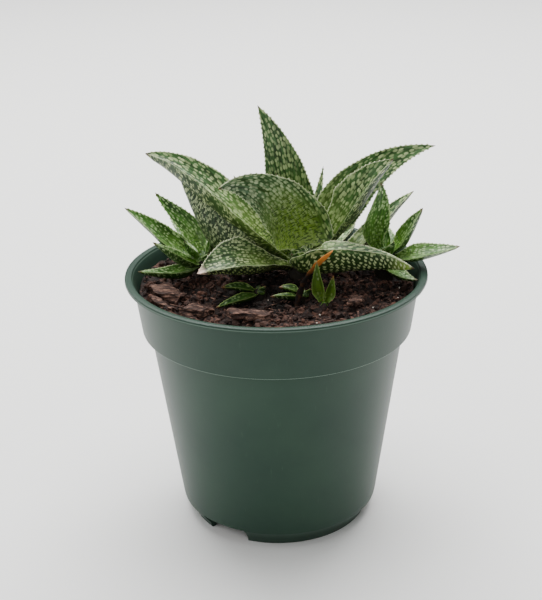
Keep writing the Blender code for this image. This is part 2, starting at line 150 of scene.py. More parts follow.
def makePiece(name, bm, material, replaced=None, flat=False):
    # bmesh to an object at the origin that rides on the plant
    bmesh.ops.recalc_face_normals(bm, faces=bm.faces)
    mesh = bpy.data.meshes.new(name)
    bm.to_mesh(mesh)
    bm.free()
    mesh.materials.append(material)
    if not flat:
        mesh.shade_smooth()
    piece = bpy.data.objects.new(name, mesh)
    bpy.context.scene.collection.objects.link(piece)
    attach(piece, "root")
    if replaced:
        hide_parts(replaced)
    return piece


# camera: from the fit of the pot's circles, straight in front of the pot and looking down on it

view = {"place": (0.0, -0.6, 0.3617), "yaw": -0.0047, "pitch": 22.32, "roll": -1.07, "lens": 76.56,
        "sensorHeight": 36.0, "nearest": 0.02}


def makeCamera():
    yaw, pitch, roll = view["yaw"], math.radians(view["pitch"]), math.radians(view["roll"])
    ahead = Vector((math.sin(yaw) * math.cos(pitch), math.cos(yaw) * math.cos(pitch), -math.sin(pitch)))
    right = Vector((math.cos(yaw), -math.sin(yaw), 0.0))
    above = right.cross(ahead)
    turnedRight = right * math.cos(roll) + above * math.sin(roll)
    turnedUp = above * math.cos(roll) - right * math.sin(roll)
    data = bpy.data.cameras.new("photoCamera")
    data.sensor_fit = 'VERTICAL'
    data.sensor_height = view["sensorHeight"]
    data.lens = view["lens"]
    data.clip_start = view["nearest"]
    camera = bpy.data.objects.new("photoCamera", data)
    matrix = Matrix((turnedRight, turnedUp, -ahead)).transposed().to_4x4()
    matrix.translation = Vector(view["place"])
    camera.matrix_world = matrix
    bpy.context.scene.collection.objects.link(camera)
    bpy.context.scene.camera = camera


makeCamera()
print("camera set")


# leaf skin: living aloe epidermis, waxy, with pale raised spots and a horny white margin

leafWax = {"Roughness": 0.4, "IOR": 1.42, "Subsurface Weight": 0.05, "Subsurface Radius": (0.5, 0.9, 0.25),
           "Subsurface Scale": 0.0012}

# one column for each skin; spotSize is a share of the spacing, which is in mm along the leaf and across it
skinNames = ("matureLeafSkin", "dryTipLeafSkin", "offsetLeafSkin", "shadedLeafSkin", "youngLeafSkin")
leafLooks = {
    "dark": ("1a360a", "182c0c", "1f420a", "16300a", "345210"),
    "green": ("38651d", "34561f", "43751f", "2c5216", "4f741e"),
    "foot": ("8aa844", "7f9a3c", "6b942c", "4a6a24", "65802a"),
    "grey": ("5e7663", "4c5f4a", "557840", "3c5a2c", "5c7a32"),
    "outer": ("182f0a", "101e09", "1a3409", "142a08", "2a430c"),
    "spot": ("b2c67f", "adbe80", "9fc076", "7f9c58", "86a052"),
    "dot": ("d2e09a", "c4d47a", "b0cb88", "8aa664", "8ba45a"),
    "margin": ("dfe6bc", "dfe6bc", "bcd294", "8fa958", "8fa958"),
    "tip": ("46341f", "f0d6c4", "57492b", "6a4a2c", "7a5232"),
    "keep": (0.12, 0.12, 0.22, 0.35, 0.8),
    "spotSize": (0.44, 0.42, 0.4, 0.4, 0.34),
    "spacing": ((3.2, 1.45), (2.4, 1.25), (2.4, 1.2), (2.2, 1.2), (2.5, 1.25)),
}

# scales are in repeats a metre along the leaf and across it, but wobbleScale is in repeats a spot
leafPattern = {
    "wobbleScale": 0.8, "wander": 0.42, "scatter": 0.78, "bandScale": (125.0, 50.0, 1.0), "crowding": -0.5,
    "outerShrink": 0.1, "outerRarer": 0.18, "spotSoft": (0.06, 0.18), "faintest": 0.35,
    "keptFade": between(-0.06, 0.06),
    "dotScale": (390.0, 450.0, 1.0), "dotScatter": 0.45, "dotStrength": 0.85,
    "dotFade": between(0.37, 0.2), "dotSide": between(0.1, 0.5),
    "streakScale": (80.0, 800.0, 1.0), "streakFade": between(0.36, 0.66),
    "greyFade": between(0.3, 0.8, 0.85), "greySpot": "c0cbb6", "greySpotShare": 0.6,
    "footFade": between(0.66, 0.1), "footSpotShare": 0.45, "outerShade": 0.8,
    "glowFade": between(0.78, 0.98),
    "dashScale": (1400.0, 420.0, 1.0), "dashFade": between(0.50, 0.60),
    "dashSide": between(0.2, 0.45), "dashStrength": 0.75,
    "grainScale": 700.0, "grainShare": 0.4, "bump": {"Strength": 0.5, "Distance": 0.00025},
}
leafLayers = ("along", "margin", "tip", "outer", "yellow", "grey", "dots", "tipGlow")


def makeLeafSkin(name, look):
    rule = leafPattern
    material, add, dress = startMaterial(name, leafWax)
    along, margin, tip, outer, yellow, grey, dots, tipGlow = (
        add("Attribute", out="Fac", attribute_name=layer) for layer in leafLayers)
    span = add("UVMap", uv_map="leafSpan")
    spotScale = (1000 / look["spacing"][0], 1000 / look["spacing"][1], 1.0)
    spotSpace = add("Mapping", {"Vector": span, "Scale": spotScale})
    wobbleInputs = {"Vector": spotSpace, "Scale": rule["wobbleScale"], "Detail": 2.0}
    wobble = add("TexNoise", wobbleInputs, "Color", **flatNoise)
    centred = add("VectorMath", {0: wobble, 1: (0.5, 0.5, 0.5)}, **minus)
    shift = add("VectorMath", {0: centred, "Scale": rule["wander"]}, operation='SCALE')
    bent = add("VectorMath", {0: spotSpace, 1: shift})
    cells = add("TexVoronoi", {"Vector": bent, "Scale": 1.0, "Randomness": rule["scatter"]}, **flatCells)

    # the spots crowd into loose bands across the leaf, about 8 mm apart
    bandSpace = add("Mapping", {"Vector": span, "Scale": rule["bandScale"]})
    bands = add("TexNoise", {"Vector": bandSpace, "Scale": 1.0, "Detail": 2.0}, **flatNoise)
    bandLevel = add("Math", {0: bands, 1: 0.5}, **minus)
    crowding = add("Math", {0: bandLevel, 1: rule["crowding"]}, **times)
    crowded = add("Math", {0: cells, 1: crowding}, **plus)
    shrunk = add("Math", {0: outer, 1: rule["outerShrink"]}, **times)
    spotReach = add("Math", {0: crowded, 1: shrunk}, **plus)
    outside, inside = look["spotSize"] + rule["spotSoft"][0], look["spotSize"] - rule["spotSoft"][1]
    spots = add("MapRange", {"Value": spotReach, "From Min": outside, "From Max": inside}, **softRange)
    chances = add("SeparateColor", {"Color": cells.node.outputs["Color"]}).node.outputs
    outerRarer = add("Math", {0: outer, 1: rule["outerRarer"]}, **times)
    rarer = add("Math", {0: look["keep"], 1: outerRarer}, **plus)
    luck = add("Math", {0: chances["Red"], 1: rarer}, **minus)
    kept = add("MapRange", {"Value": luck, **rule["keptFade"]}, **softRange)
    strength = add("MapRange", {"Value": chances["Green"], "To Min": rule["faintest"]})
    keptSpots = add("Math", {0: spots, 1: kept}, **times)
    spotMask = add("Math", {0: keptSpots, 1: strength}, **times)

    # the two front leaves have round dots in even rows on their dark outer face, about 2.4 mm apart
    dotSpace = add("Mapping", {"Vector": span, "Scale": rule["dotScale"]})
    dotInputs = {"Vector": dotSpace, "Scale": 1.0, "Randomness": rule["dotScatter"]}
    dotCells = add("TexVoronoi", dotInputs, **flatCells)
    roundDots = add("MapRange", {"Value": dotCells, **rule["dotFade"]}, **softRange)
    dotMask = add("Math", {0: roundDots, 1: rule["dotStrength"]}, **times)
    dotSide = add("MapRange", {"Value": outer, **rule["dotSide"]}, **softRange)
    dotShare = add("Math", {0: dots, 1: dotSide}, **times)
    spotMask = add("Mix", {0: dotShare, 2: spotMask, 3: dotMask})

    # thin lengthwise streaks of darker green, about 1.2 mm apart, under a grey that comes in away from the
    # foot and a yellow foot; the grey is partly the leaf's own and partly a painted reflection of the bright
    # studio, strongest on the broad centre leaf
    streakSpace = add("Mapping", {"Vector": span, "Scale": rule["streakScale"]})
    streaks = add("TexNoise", {"Vector": streakSpace, "Scale": 1.0, "Detail": 3.0}, **flatNoise)
    streakMask = add("MapRange", {"Value": streaks, **rule["streakFade"]}, **softRange)
    greyAndReflection = add("MapRange", {"Value": streaks, **rule["greyFade"]}, **softRange)
    greyMask = add("Math", {0: grey, 1: greyAndReflection}, **times)
    footFade = add("MapRange", {"Value": along, **rule["footFade"]}, **softRange)
    footMask = add("Math", {0: yellow, 1: footFade}, **times)
    outerMask = add("Math", {0: outer, 1: rule["outerShade"]}, **times)
    glowFade = add("MapRange", {"Value": along, **rule["glowFade"]}, **softRange)
    glowMask = add("Math", {0: tipGlow, 1: glowFade}, **times)
    body = look["dark"]
    for mask, tone in ((streakMask, "green"), (greyMask, "grey"), (footMask, "foot"), (outerMask, "outer"),
                       (glowMask, "foot")):
        body = add("Mix", {0: mask, 6: body, 7: look[tone]}, **colourMix)
    greySpots = add("Math", {0: grey, 1: rule["greySpotShare"]}, **times)
    footSpots = add("Math", {0: footMask, 1: rule["footSpotShare"]}, **times)
    spotColour = look["spot"]
    for mask, tone in ((outer, look["dot"]), (greySpots, rule["greySpot"]), (footSpots, look["foot"])):
        spotColour = add("Mix", {0: mask, 6: spotColour, 7: tone}, **colourMix)

    # broken dark rows across the yellow foot of a broad leaf, less than 1 mm apart
    dashSpace = add("Mapping", {"Vector": span, "Scale": rule["dashScale"]})
    dashes = add("TexNoise", {"Vector": dashSpace, "Scale": 1.0, "Detail": 1.0}, **flatNoise)
    brokenRows = add("MapRange", {"Value": dashes, **rule["dashFade"]}, **softRange)
    dashSide = add("MapRange", {"Value": footMask, **rule["dashSide"]}, **softRange)
    dashMask = add("Math", {0: brokenRows, 1: dashSide}, **times)
    dashShare = add("Math", {0: dashMask, 1: rule["dashStrength"]}, **times)
    colour = body
    for mask, tone in ((spotMask, spotColour), (dashShare, look["dark"]), (margin, look["margin"]),
                       (tip, look["tip"])):
        colour = add("Mix", {0: mask, 6: colour, 7: tone}, **colourMix)

    # raised spots and a fine waxy unevenness
    grain = add("TexNoise", {"Vector": span, "Scale": rule["grainScale"], "Detail": 2.0}, **flatNoise)
    height = add("Math", {0: grain, 1: rule["grainShare"], 2: spotMask}, **timesPlus)
    dress({"Base Color": colour, "Normal": add("Bump", {"Height": height, **rule["bump"]})})
    return material


# leaves: the same spines and widths as the solids, with smooth skins and small teeth

stems = {"main": ((15, 6, 130), 9.0), "left_pup": ((-37, 13, 131.5), 4.8), "right_pup": ((55, 7, 134), 5.0),
         "front_pup": ((-8, -20, 127.5), 2.8), "small_pup": ((13.5, -23.5, 127), 2.5),
         "tiny_pup": ((22.5, -34, 125.5), 2.5)}

# each leaf: leave, tip, arrive and width, then what differs from the defaults; leave and arrive are
# azimuth and rise in degrees, and the lengths are in mm
leafKeys = ("leave", "tip", "arrive", "width")
leafDefaults = {"base": 10, "thick": 5, "trough": 0.3, "roll": 0, "widest": 0.27, "broad": 1.7,
                "bend": (0.36, 0.36), "tooth": 0.5, "dryLength": 2.2, "yellow": 0.45, "grey": 0.35,
                "dim": 0.9, "valley": 1.74, "shift": 0.0, "dots": 0.0, "tipGlow": 0.0, "footRight": 0.0}
leafShapes = {
    "main": {
        "leaf_back_upright": ((102, 22), (-8, 26, 210), (168, 60), 28, {"base": 6.5, "trough": 0.16,
            "roll": 6, "widest": 0.3, "bend": (0.4, 0.4), "yellow": 0.7}),
        "leaf_centre_broad": ((116, 58), (-27, -20, 180.5), (208, -26), 33, {"base": 15, "thick": 4.5,
            "trough": 0.56, "widest": 0.25, "broad": 1.35, "bend": (0.29, 0.32), "yellow": 1.0,
            "grey": 0.85, "dim": 0.5, "valley": 1.25, "shift": -0.3, "footRight": 8.0}),
        "leaf_left_long": ((174, 36), (-64, 13, 189.8), (183, 12), 26.5, {"base": 6.5, "thick": 7.5,
            "trough": 0.46, "roll": -9, "broad": 2.1, "bend": (0.35, 0.27)}),
        "leaf_left_low": ((188, 7), (-47, 11, 176.5), (184, 54), 28, {"base": 4.5, "thick": 3.4, "roll": 56,
            "widest": 0.38, "broad": 2.4, "bend": (0.52, 0.42), "yellow": 0.1, "grey": 0.6, "dim": 0.4,
            "dryLength": 0.1}),
        "leaf_right_long": ((64, 28), (80.5, 15, 190.6), (2, 6), 25, {"base": 6, "widest": 0.36,
            "trough": 0.2, "roll": 12, "broad": 1.4, "bend": (0.38, 0.42)}),
        "leaf_right_trough": ((30, 40), (58, -1, 188.9), (-16, 40), 21, {"base": 6.5, "trough": 0.6,
            "widest": 0.5, "bend": (0.36, 0.38)}),
        "leaf_right_front": ((-98, 26), (68, -15, 137), (-2, -20), 26, {"base": 11, "thick": 6,
            "trough": 0.6, "roll": 23, "widest": 0.42, "bend": (0.42, 0.42), "dots": 1.0, "tipGlow": 1.0}),
        "leaf_left_front": ((-151, 19), (-38, -29, 141.5), (188, -22), 25, {"base": 5, "thick": 6,
            "trough": 0.5, "roll": -14, "widest": 0.5, "broad": 1.6, "bend": (0.36, 0.34), "dots": 1.0,
            "dryLength": 4.0}),
        "leaf_young": ((122, 39), (0.5, 20, 177), (130, 66), 9, {"base": 4, "thick": 2.6, "broad": 1.5}),
        "leaf_back_short": ((86, 5), (26, 52, 170.5), (60, 72), 8, {"base": 3.6, "thick": 3.2}),
        "leaf_right_low": ((25, 4), (71.5, 27, 163.6), (8, 34), 14, {"base": 4.5, "thick": 4, "widest": 0.5,
            "broad": 1.4}),
        "leaf_back_right": ((56, 5), (44, 57, 141), (50, 10), 15, {"base": 4, "widest": 0.7, "broad": 1.3}),
        "leaf_back_left": ((138, 6), (-22, 62, 163), (118, 34), 22, {"base": 6}),
    },
    "left_pup": {
        "left_pup_long": ((176, 30), (-75.5, 9, 163), (180, 34), 14, {"roll": -20}),
        "left_pup_upright": ((105, 50), (-61.5, 26, 165.5), (165, 50), 12, {"base": 4.5, "thick": 3}),
        "left_pup_front": ((232, 16), (-60.5, -9, 151), (180, 30), 13, {"roll": -20}),
        "left_pup_lying": ((226, -8), (-69, -5, 134), (178, 4), 13, {}),
        "left_pup_back": ((100, 10), (-56, 44, 146), (125, 22), 12, {}),
    },
    "right_pup": {
        "right_pup_upright": ((165, 60), (52, -1.5, 177.3), (160, 84), 15,
            {"base": 6, "thick": 3.4, "roll": -56, "widest": 0.38}),
        "right_pup_raised": ((12, 42), (73.5, 4, 162), (5, 54), 14, {}),
        "right_pup_level": ((-14, 12), (92, -2, 143.5), (0, 10), 14, {"roll": 14}),
        "right_pup_low": ((-75, -8), (70, -14, 130.5), (5, -10), 9, {"base": 4, "thick": 2.6}),
        "right_pup_back": ((80, 10), (58, 46, 142), (80, 20), 12, {"thick": 3}),
    },
    "front_pup": {
        "front_pup_left": ((170, 20), (-27, -22, 131.5), (185, -6), 7, {}),
        "front_pup_low": ((236, 8), (-29, -38, 127.5), (220, -6), 8, {}),
    },
    "small_pup": {
        "small_pup_upper": ((165, 34), (1, -23, 131.5), (180, -4), 6, {"base": 2.4}),
        "small_pup_lower": ((225, 14), (-3, -30, 129.5), (190, -8), 6, {}),
    },
    "tiny_pup": {
        "tiny_pup_tall": ((165, 68), (19.3, -34.5, 149.3), (100, 84), 6, {"roll": -72}),
        "tiny_pup_short": ((10, 58), (27.3, -34.5, 141.8), (40, 72), 5, {"thick": 2, "roll": 78}),
    },
}
# what the leaves of each young rosette share
pupDefaults = {"left_pup": {"base": 5, "thick": 3.2}, "right_pup": {"base": 5, "thick": 3.2},
               "front_pup": {"base": 2.8, "thick": 2.4, "tooth": 0.3},
               "small_pup": {"base": 2.6, "thick": 2.2, "tooth": 0.3},
               "tiny_pup": {"base": 2.6, "thick": 2.2, "broad": 1.5, "tooth": 0.2}}
heartDefaults = {"width": 5, "base": 4, "thick": 2, "tooth": 0.2, "trough": 0.5, "dryLength": 0.6, "dim": 0.4}
heartShapes = {
    "main": {
        "heart_main_right": ((-20, 58), (22, 1, 139), (-20, 80), 8, {"base": 7}),
        "heart_main_left": ((-140, 62), (8, 1, 140), (-140, 78), 8, {"base": 7}),
        "heart_main_back": ((70, 66), (16, 12, 141), (80, 80), 7, {}),
    },
    "left_pup": {
        "heart_left_pup": ((205, 48), (-46, 8, 145), (190, 66), 6.5, {"base": 5}),
        "heart_left_pup_back": ((20, 64), (-33, 15, 145), (30, 80), 5, {}),
        "heart_left_pup_front": ((-70, 30), (-34, 3, 140), (-70, 60), 6, {"base": 5}),
    },
    "right_pup": {
        "heart_right_pup": ((-60, 50), (59, 0, 146), (-50, 74), 6, {"base": 5}),
        "heart_right_pup_back": ((70, 62), (57, 13, 148), (70, 80), 5, {}),
    },
    "front_pup": {
        "heart_front_pup": ((-60, 50), (-5.5, -24.5, 133), (-60, 70), 3.4, {"base": 3, "thick": 1.4}),
    },
    "small_pup": {
        "heart_small_pup": ((-40, 50), (16.5, -26.5, 132), (-40, 70), 3.2, {"base": 2.8, "thick": 1.4}),
    },
    "tiny_pup": {
        "heart_tiny_pup": ((95, 60), (22.5, -30.5, 133.5), (95, 80), 3.2, {"base": 2.8, "thick": 1.4}),
    },
}
budTurns = {"main": (-70, 55, 170), "left_pup": (200, 75, -50), "right_pup": (-65, 60, 175),
            "front_pup": (-70, 110), "small_pup": (-60, 120), "tiny_pup": (-80, 80)}

# a bud leaf's widths are shares of the stem's radius; it starts on one side and ends past the top
budLook = {"seatRise": 10, "leaveRise": 84, "arriveRise": 6, "tipRise": 72, "reach": 1.05, "reachStep": 0.09,
           "width": 1.45, "base": 1.2, "thick": 0.16, "tooth": 0.03}
budShape = {"trough": 0.45, "widest": 0.4, "bend": (0.42, 0.42), "yellow": 0.8}
leafSkins = {"left_pup": "offsetLeafSkin", "right_pup": "offsetLeafSkin", "front_pup": "shadedLeafSkin",
             "small_pup": "shadedLeafSkin", "tiny_pup": "youngLeafSkin", "main": "matureLeafSkin"}
dryLeaves = ("leaf_left_front", "leaf_left_low")
youngStems = ("front_pup", "small_pup", "tiny_pup")
leafDetail = {"main": (120, 36), "pup": (64, 24)}     # rows along a leaf, columns round it
firstNumber = {"leaf": 0, "heart": 40, "bud": 70}     # each leaf's number moves its spots
# lengths in mm; a wave is a share of the half width or rim, a rate is how fast it comes in, a curve a power
leafForm = {"stemGap": 0.3, "seedStep": 3.7, "toothSpacing": 2.3, "toothSize": 0.9, "toothWave": 0.4,
            "toothRate": 1.7, "toothLift": 0.15, "toothLean": 0.5, "toothRange": (0.03, 0.97),
            "widthWave": 0.05, "widthRate": 7, "rimWave": 0.14, "rimRate": 9, "footRate": 3.5,
            "blunt": 0.07, "thinShare": 0.25, "thinnest": 0.8, "shiftStart": 0.1, "shiftRates": (4, 3),
            "innerBelly": 0.10, "bellyRate": 5, "backCurve": 2.7, "dentScale": 0.16, "dentDepth": 0.35,
            "dentCurve": 3, "marginStart": 0.08, "marginFade": 0.34, "spotShift": 0.3, "weld": 0.004}
markRates = {"outer": 6, "tipStart": 0.4, "yellowStart": 0.4, "yellow": 1.8, "grey": 1.6}


def heading(azimuth, rise):
    turn, tilt = math.radians(azimuth), math.radians(rise)
    return Vector((math.cos(tilt) * math.cos(turn), math.cos(tilt) * math.sin(turn), math.sin(tilt)))


def spineRows(leaf, end, rows):
    # point, direction and upper-face normal for each row along the leaf
    first = heading(*leaf["leave"]) * leaf["bend"][0] * end.length
    second = end - heading(*leaf["arrive"]) * leaf["bend"][1] * end.length
    normal = heading(leaf["leave"][0], leaf["leave"][1] + 90)
    made = []
    for row in range(rows + 1):
        t = row / rows
        s = 1 - t
        point = 3 * s * s * t * first + 3 * s * t * t * second + t ** 3 * end
        tangent = (s * s * first + 2 * s * t * (second - first) + t * t * (end - second)).normalized()
        normal = (normal - normal.dot(tangent) * tangent).normalized()
        made.append((point, tangent, normal))
    return made


def widthShare(leaf, t):
    if t < leaf["widest"]:
        start = leaf["base"] / leaf["width"]
        return start + (1 - start) * smooth(t / leaf["widest"])
    return 1 - ((t - leaf["widest"]) / (1 - leaf["widest"])) ** leaf["broad"]


def isInner(turn):
    # the first half turn round a leaf is its upper, inner face
    return turn <= math.pi + 0.001


def leafPlace(leaf, spineRow, t, turn, seed):
    # a point of the smooth skin, with its way across the leaf, its way up and its place across from -1 to 1
    form = leafForm
    point, tangent, normal = spineRow
    share = max(widthShare(leaf, t), 0.0)
    wave = form["widthWave"] * noise.noise(Vector((t * form["widthRate"], seed, 0)))
    half = 0.5 * leaf["width"] * share * (1 + wave)
    up = Matrix.Rotation(math.radians(leaf["roll"]), 3, tangent) @ normal
    across = tangent.cross(up)
    x = -math.cos(turn)
    if x > 0:
        half += leaf["footRight"] * smooth(1 - form["footRate"] * t)
    off = abs(x)
    wave = form["rimWave"] * noise.noise(Vector((t * form["rimRate"], seed, 5 + x)))
    rim = leaf["trough"] * half * (1 + wave)
    ending = min(1.0, (1 - t) / form["blunt"]) ** 0.5
    fullness = form["thinShare"] + (1 - form["thinShare"]) * share
    deep = max(leaf["thick"] * fullness, form["thinnest"]) * ending
    if isInner(turn):
        sideIn, sideOut = form["shiftRates"]
        side = leaf["shift"] * smooth((t - form["shiftStart"]) * sideIn) * smooth((1 - t) * sideOut)
        fromValley = abs(x - side) / (1 - side if x > side else 1 + side)
        belly = form["innerBelly"] * deep * (1 - off ** 2) * smooth(t * form["bellyRate"])
        height = rim * fromValley ** leaf["valley"] - belly
    else:
        height = rim * off ** 2 - deep * (1 - off ** form["backCurve"])
    place = point + across * (half * x) + up * height
    dent = noise.noise(place * form["dentScale"] + Vector((0, 0, seed))) * form["dentDepth"]
    place += up * dent * (1 - off ** form["dentCurve"]) * share
    return place, across, up, x


def leafMarks(leaf, t, turn, x, toTip):
    # what the leaf's skin has to know at this point, one value for each layer that the form gives
    outer = 0.0 if isInner(turn) else leaf["dim"] * smooth((1 - abs(x)) * markRates["outer"])
    toRight = smooth((x - markRates["yellowStart"]) * markRates["yellow"])
    return {"along": t, "outer": outer, "dots": leaf["dots"], "tipGlow": leaf["tipGlow"],
            "tip": 1 - smooth(toTip / leaf["dryLength"] - markRates["tipStart"]),
            "yellow": leaf["yellow"] * (1 - toRight), "grey": leaf["grey"] * smooth(t * markRates["grey"])}


def unwrapLeaf(bm, grid, rows, columns, lengths, marginLayer, leafNumber):
    # the own UV map in metres: length along the spine, girth from the middle of the inner face
    form = leafForm
    spanLayer = bm.loops.layers.uv["leafSpan"]
    span = {}
    for row in range(rows + 1):
        girth = [0.0]
        for column in range(columns):
            girth.append(girth[-1] + (grid[row, column + 1].co - grid[row, column].co).length)
        for column in range(columns + 1):
            vert = grid[row, column]
            aside = girth[column] - girth[columns // 4] + leafNumber * form["spotShift"]
            span[vert] = (lengths[row] * mm, aside)
            toMiddle = abs(girth[column] - girth[columns // 2])
            fromMargin = min(girth[column], toMiddle, girth[-1] - girth[column])
            pastMargin = (fromMargin / mm - form["marginStart"]) / form["marginFade"]
            vert[marginLayer] = 1 - smooth(pastMargin)
    for face in bm.faces:
        for loop in face.loops:
            loop[spanLayer].uv = span[loop.vert]


def buildLeaf(name, stem, values, skins, leafNumber, replaced=None):
    leaf, form = {**leafDefaults, **values}, leafForm
    middle, radius = stems[stem]
    start = Vector(middle) + heading(*leaf.get("seat", leaf["leave"])) * (radius + form["stemGap"])
    end = Vector(leaf["tip"]) - start
    rows, columns = leafDetail["main" if stem == "main" else "pup"]
    spine = spineRows(leaf, end, rows)
    seed = len(name) * form["seedStep"] + leaf["tip"][0]
    lengths = [0.0]
    for near, far in zip(spine, spine[1:]):
        lengths.append(lengths[-1] + (far[0] - near[0]).length)
    toothRows = max(2, round(form["toothSpacing"] / (lengths[-1] / rows)))
    firstTooth, lastTooth = form["toothRange"]
    bm = bmesh.new()
    bm.loops.layers.uv.new("leafSpan")
    layers = {layer: bm.verts.layers.float.new(layer) for layer in leafLayers}
    bmesh.ops.create_grid(bm, x_segments=columns, y_segments=rows, size=0.5)
    grid = {}
    for vert in bm.verts:
        turn, t = (vert.co.x + 0.5) * math.tau, vert.co.y + 0.5
        row = round(t * rows)
        grid[row, round((vert.co.x + 0.5) * columns)] = vert
        place, across, up, x = leafPlace(leaf, spine[row], t, turn, seed)
        if abs(x) > 0.9999 and row % toothRows == 1 and firstTooth < t < lastTooth:
            wave = form["toothWave"] * noise.noise(Vector((row * form["toothRate"], seed, x)))
            lean = form["toothLean"] * spine[row][1]
            tall = leaf["tooth"] * (form["toothSize"] + wave)
            place += (across * x + form["toothLift"] * up + lean) * tall
        for layer, value in leafMarks(leaf, t, turn, x, lengths[-1] - lengths[row]).items():
            vert[layers[layer]] = value
        vert.co = (start + place) * mm
    unwrapLeaf(bm, grid, rows, columns, lengths, layers["margin"], leafNumber)
    closeSkin(bm, form["weld"])
    skin = "dryTipLeafSkin" if name in dryLeaves else leafSkins[stem]
    return makePiece(name + "_skin", bm, skins[skin], replaced)


def budLeaf(stem, turn, index):
    # a young leaf folded over the top of its stem, a little above the one before it
    middle, radius = stems[stem]
    reach = radius * (budLook["reach"] + budLook["reachStep"] * index)
    tip = Vector(middle) + heading(turn + 180, budLook["tipRise"]) * reach
    sizes = {key: budLook[key] * radius for key in ("width", "base", "thick", "tooth")}
    return {"seat": (turn, budLook["seatRise"]), "leave": (turn, budLook["leaveRise"]),
            "arrive": (turn + 180, budLook["arriveRise"]), "tip": tuple(tip), **sizes, **budShape}


def namedShape(shape):
    return {**dict(zip(leafKeys, shape)), **shape[-1]}


def buildLeaves():
    skins = {}
    for column, name in enumerate(skinNames):
        skins[name] = makeLeafSkin(name, {key: row[column] for key, row in leafLooks.items()})
    numbers = count(firstNumber["leaf"])
    for stem, shapes in leafShapes.items():
        for name, shape in shapes.items():
            values = {**pupDefaults.get(stem, {}), **namedShape(shape)}
            buildLeaf(name, stem, values, skins, next(numbers), name)

    # small unopened leaves that close the heart of each rosette
    numbers = count(firstNumber["heart"])
    for stem, shapes in heartShapes.items():
        for name, shape in shapes.items():
            buildLeaf(name, stem, {**heartDefaults, **namedShape(shape)}, skins, next(numbers))
    for stem, turns in budTurns.items():
        for index, turn in enumerate(turns):
            values = {**heartDefaults, **budLeaf(stem, turn, index)}
            buildLeaf(f"bud_{stem}_{index + 1}", stem, values, skins, index + firstNumber["bud"])


buildLeaves()
print("leaves built:", sum(map(len, [*leafShapes.values(), *heartShapes.values(), *budTurns.values()])))


# potting mix: damp composted bark and peat, dark, crumbly and dull

soilLook = {"matt": {"Roughness": 0.88, "Specular IOR Level": 0.3}, "red": "704e41", "shadow": "0f0d0a",
            "stops": ((0.36, "110b09"), (0.54, "281b17"), (0.70, "704e41")),
            "mottle": {"Scale": 150.0, "Detail": 5.0, "Roughness": 0.7}, "grainScale": 620.0,
            "bump": {"Strength": 0.7, "Distance": 0.0006}}
# painted shadow: the mix is painted darker under the leaves in front of the main stem
paintedShadowPatch = {"middle": (-0.006, -0.016, 0.126), "fade": between(0.014, 0.034, 0.0, 0.85)}
# heights and sizes in mm; relief is (size, seed, height) of each soft wave, and rough is (height, size)
soilForm = {"top": 124.5, "mound": 2.5, "spread": 34.0, "rim": 69.0, "rimFade": 3, "sides": 200, "rings": 84,
            "wall": [(0, 3.8), (43.5, 3.8), (48.9, 9.7), (62.2, 102.1), (66.5, 105.3)],
            "relief": ((11, 3.7, 2.8), (4.5, 9.1, 1.6)), "rough": ((1.5, 2.4), (0.6, 0.9)), "sink": 0.35,
            "stemRoom": 1.5}


def soilHeight(x, y):
    away = math.hypot(x - stems["main"][0][0], y - stems["main"][0][1]) / soilForm["spread"]
    height = soilForm["top"] + soilForm["mound"] * math.exp(-away * away)
    for size, seed, rise in soilForm["relief"]:
        height += rise * noise.noise(Vector((x / size, y / size, seed)))
    return height


def makeSoilFinish():
    material, add, dress = startMaterial("dampPottingMix", soilLook["matt"])
    spot = add("TexCoord", out="Object")
    grains = add("TexVoronoi", {"Vector": spot, "Scale": soilLook["grainScale"]})
    mottle = add("TexNoise", {"Vector": spot, **soilLook["mottle"]})
    patches = add("ValToRGB", {"Fac": mottle}, stops=soilLook["stops"])
    shade = add("Attribute", out="Fac", attribute_name="shade")
    # painted shadow under the front leaves, darkest within 14 mm of its middle and gone by 34 mm
    fromShadowPatch = add("VectorMath", {0: spot, 1: paintedShadowPatch["middle"]}, "Value", operation='DISTANCE')
    paintedShadow = add("MapRange", {"Value": fromShadowPatch, **paintedShadowPatch["fade"]}, **softRange)
    tinted = add("Mix", {0: shade, 6: patches, 7: soilLook["red"]}, **colourMix)
    colour = add("Mix", {0: paintedShadow, 6: tinted, 7: soilLook["shadow"]}, **colourMix)
    dress({"Base Color": colour, "Normal": add("Bump", {"Height": grains, **soilLook["bump"]})})
    return material


def buildSoil(finish):
    top, edge, rings = soilForm["top"], soilForm["rim"], soilForm["rings"]
    bm = bmesh.new()
    outline = soilForm["wall"] + [(edge, top)]
    outline += [(edge * (1 - ring / rings), top) for ring in range(1, rings + 1)]
    spinOutline(bm, outline, soilForm["sides"])
    bm.verts.layers.float.new("shade")
    for vert in bm.verts:
        if vert.co.z > top - slack:
            spot = vert.co.copy()
            inside = smooth((edge - spot.xy.length) / soilForm["rimFade"])
            rough = sum(rise * noise.noise(spot / size) for rise, size in soilForm["rough"])
            vert.co.z = soilHeight(spot.x, spot.y) + (rough - soilForm["sink"]) * inside
    toMetres(bm)
    return makePiece("soil_surface", bm, finish, "soil")


def aroundMiddle(x, y, reach):
    # a random place round a point
    angle, away = random.uniform(0, math.tau), reach()
    return x + away * math.cos(angle), y + away * math.sin(angle)


def freeSpot(reach):
    # a place on the soil that no stem takes up
    while True:
        x, y = aroundMiddle(0, 0, lambda: reach * math.sqrt(random.random()))
        if all(math.hypot(x - m[0], y - m[1]) > r + soilForm["stemRoom"] for m, r in stems.values()):
            return x, y


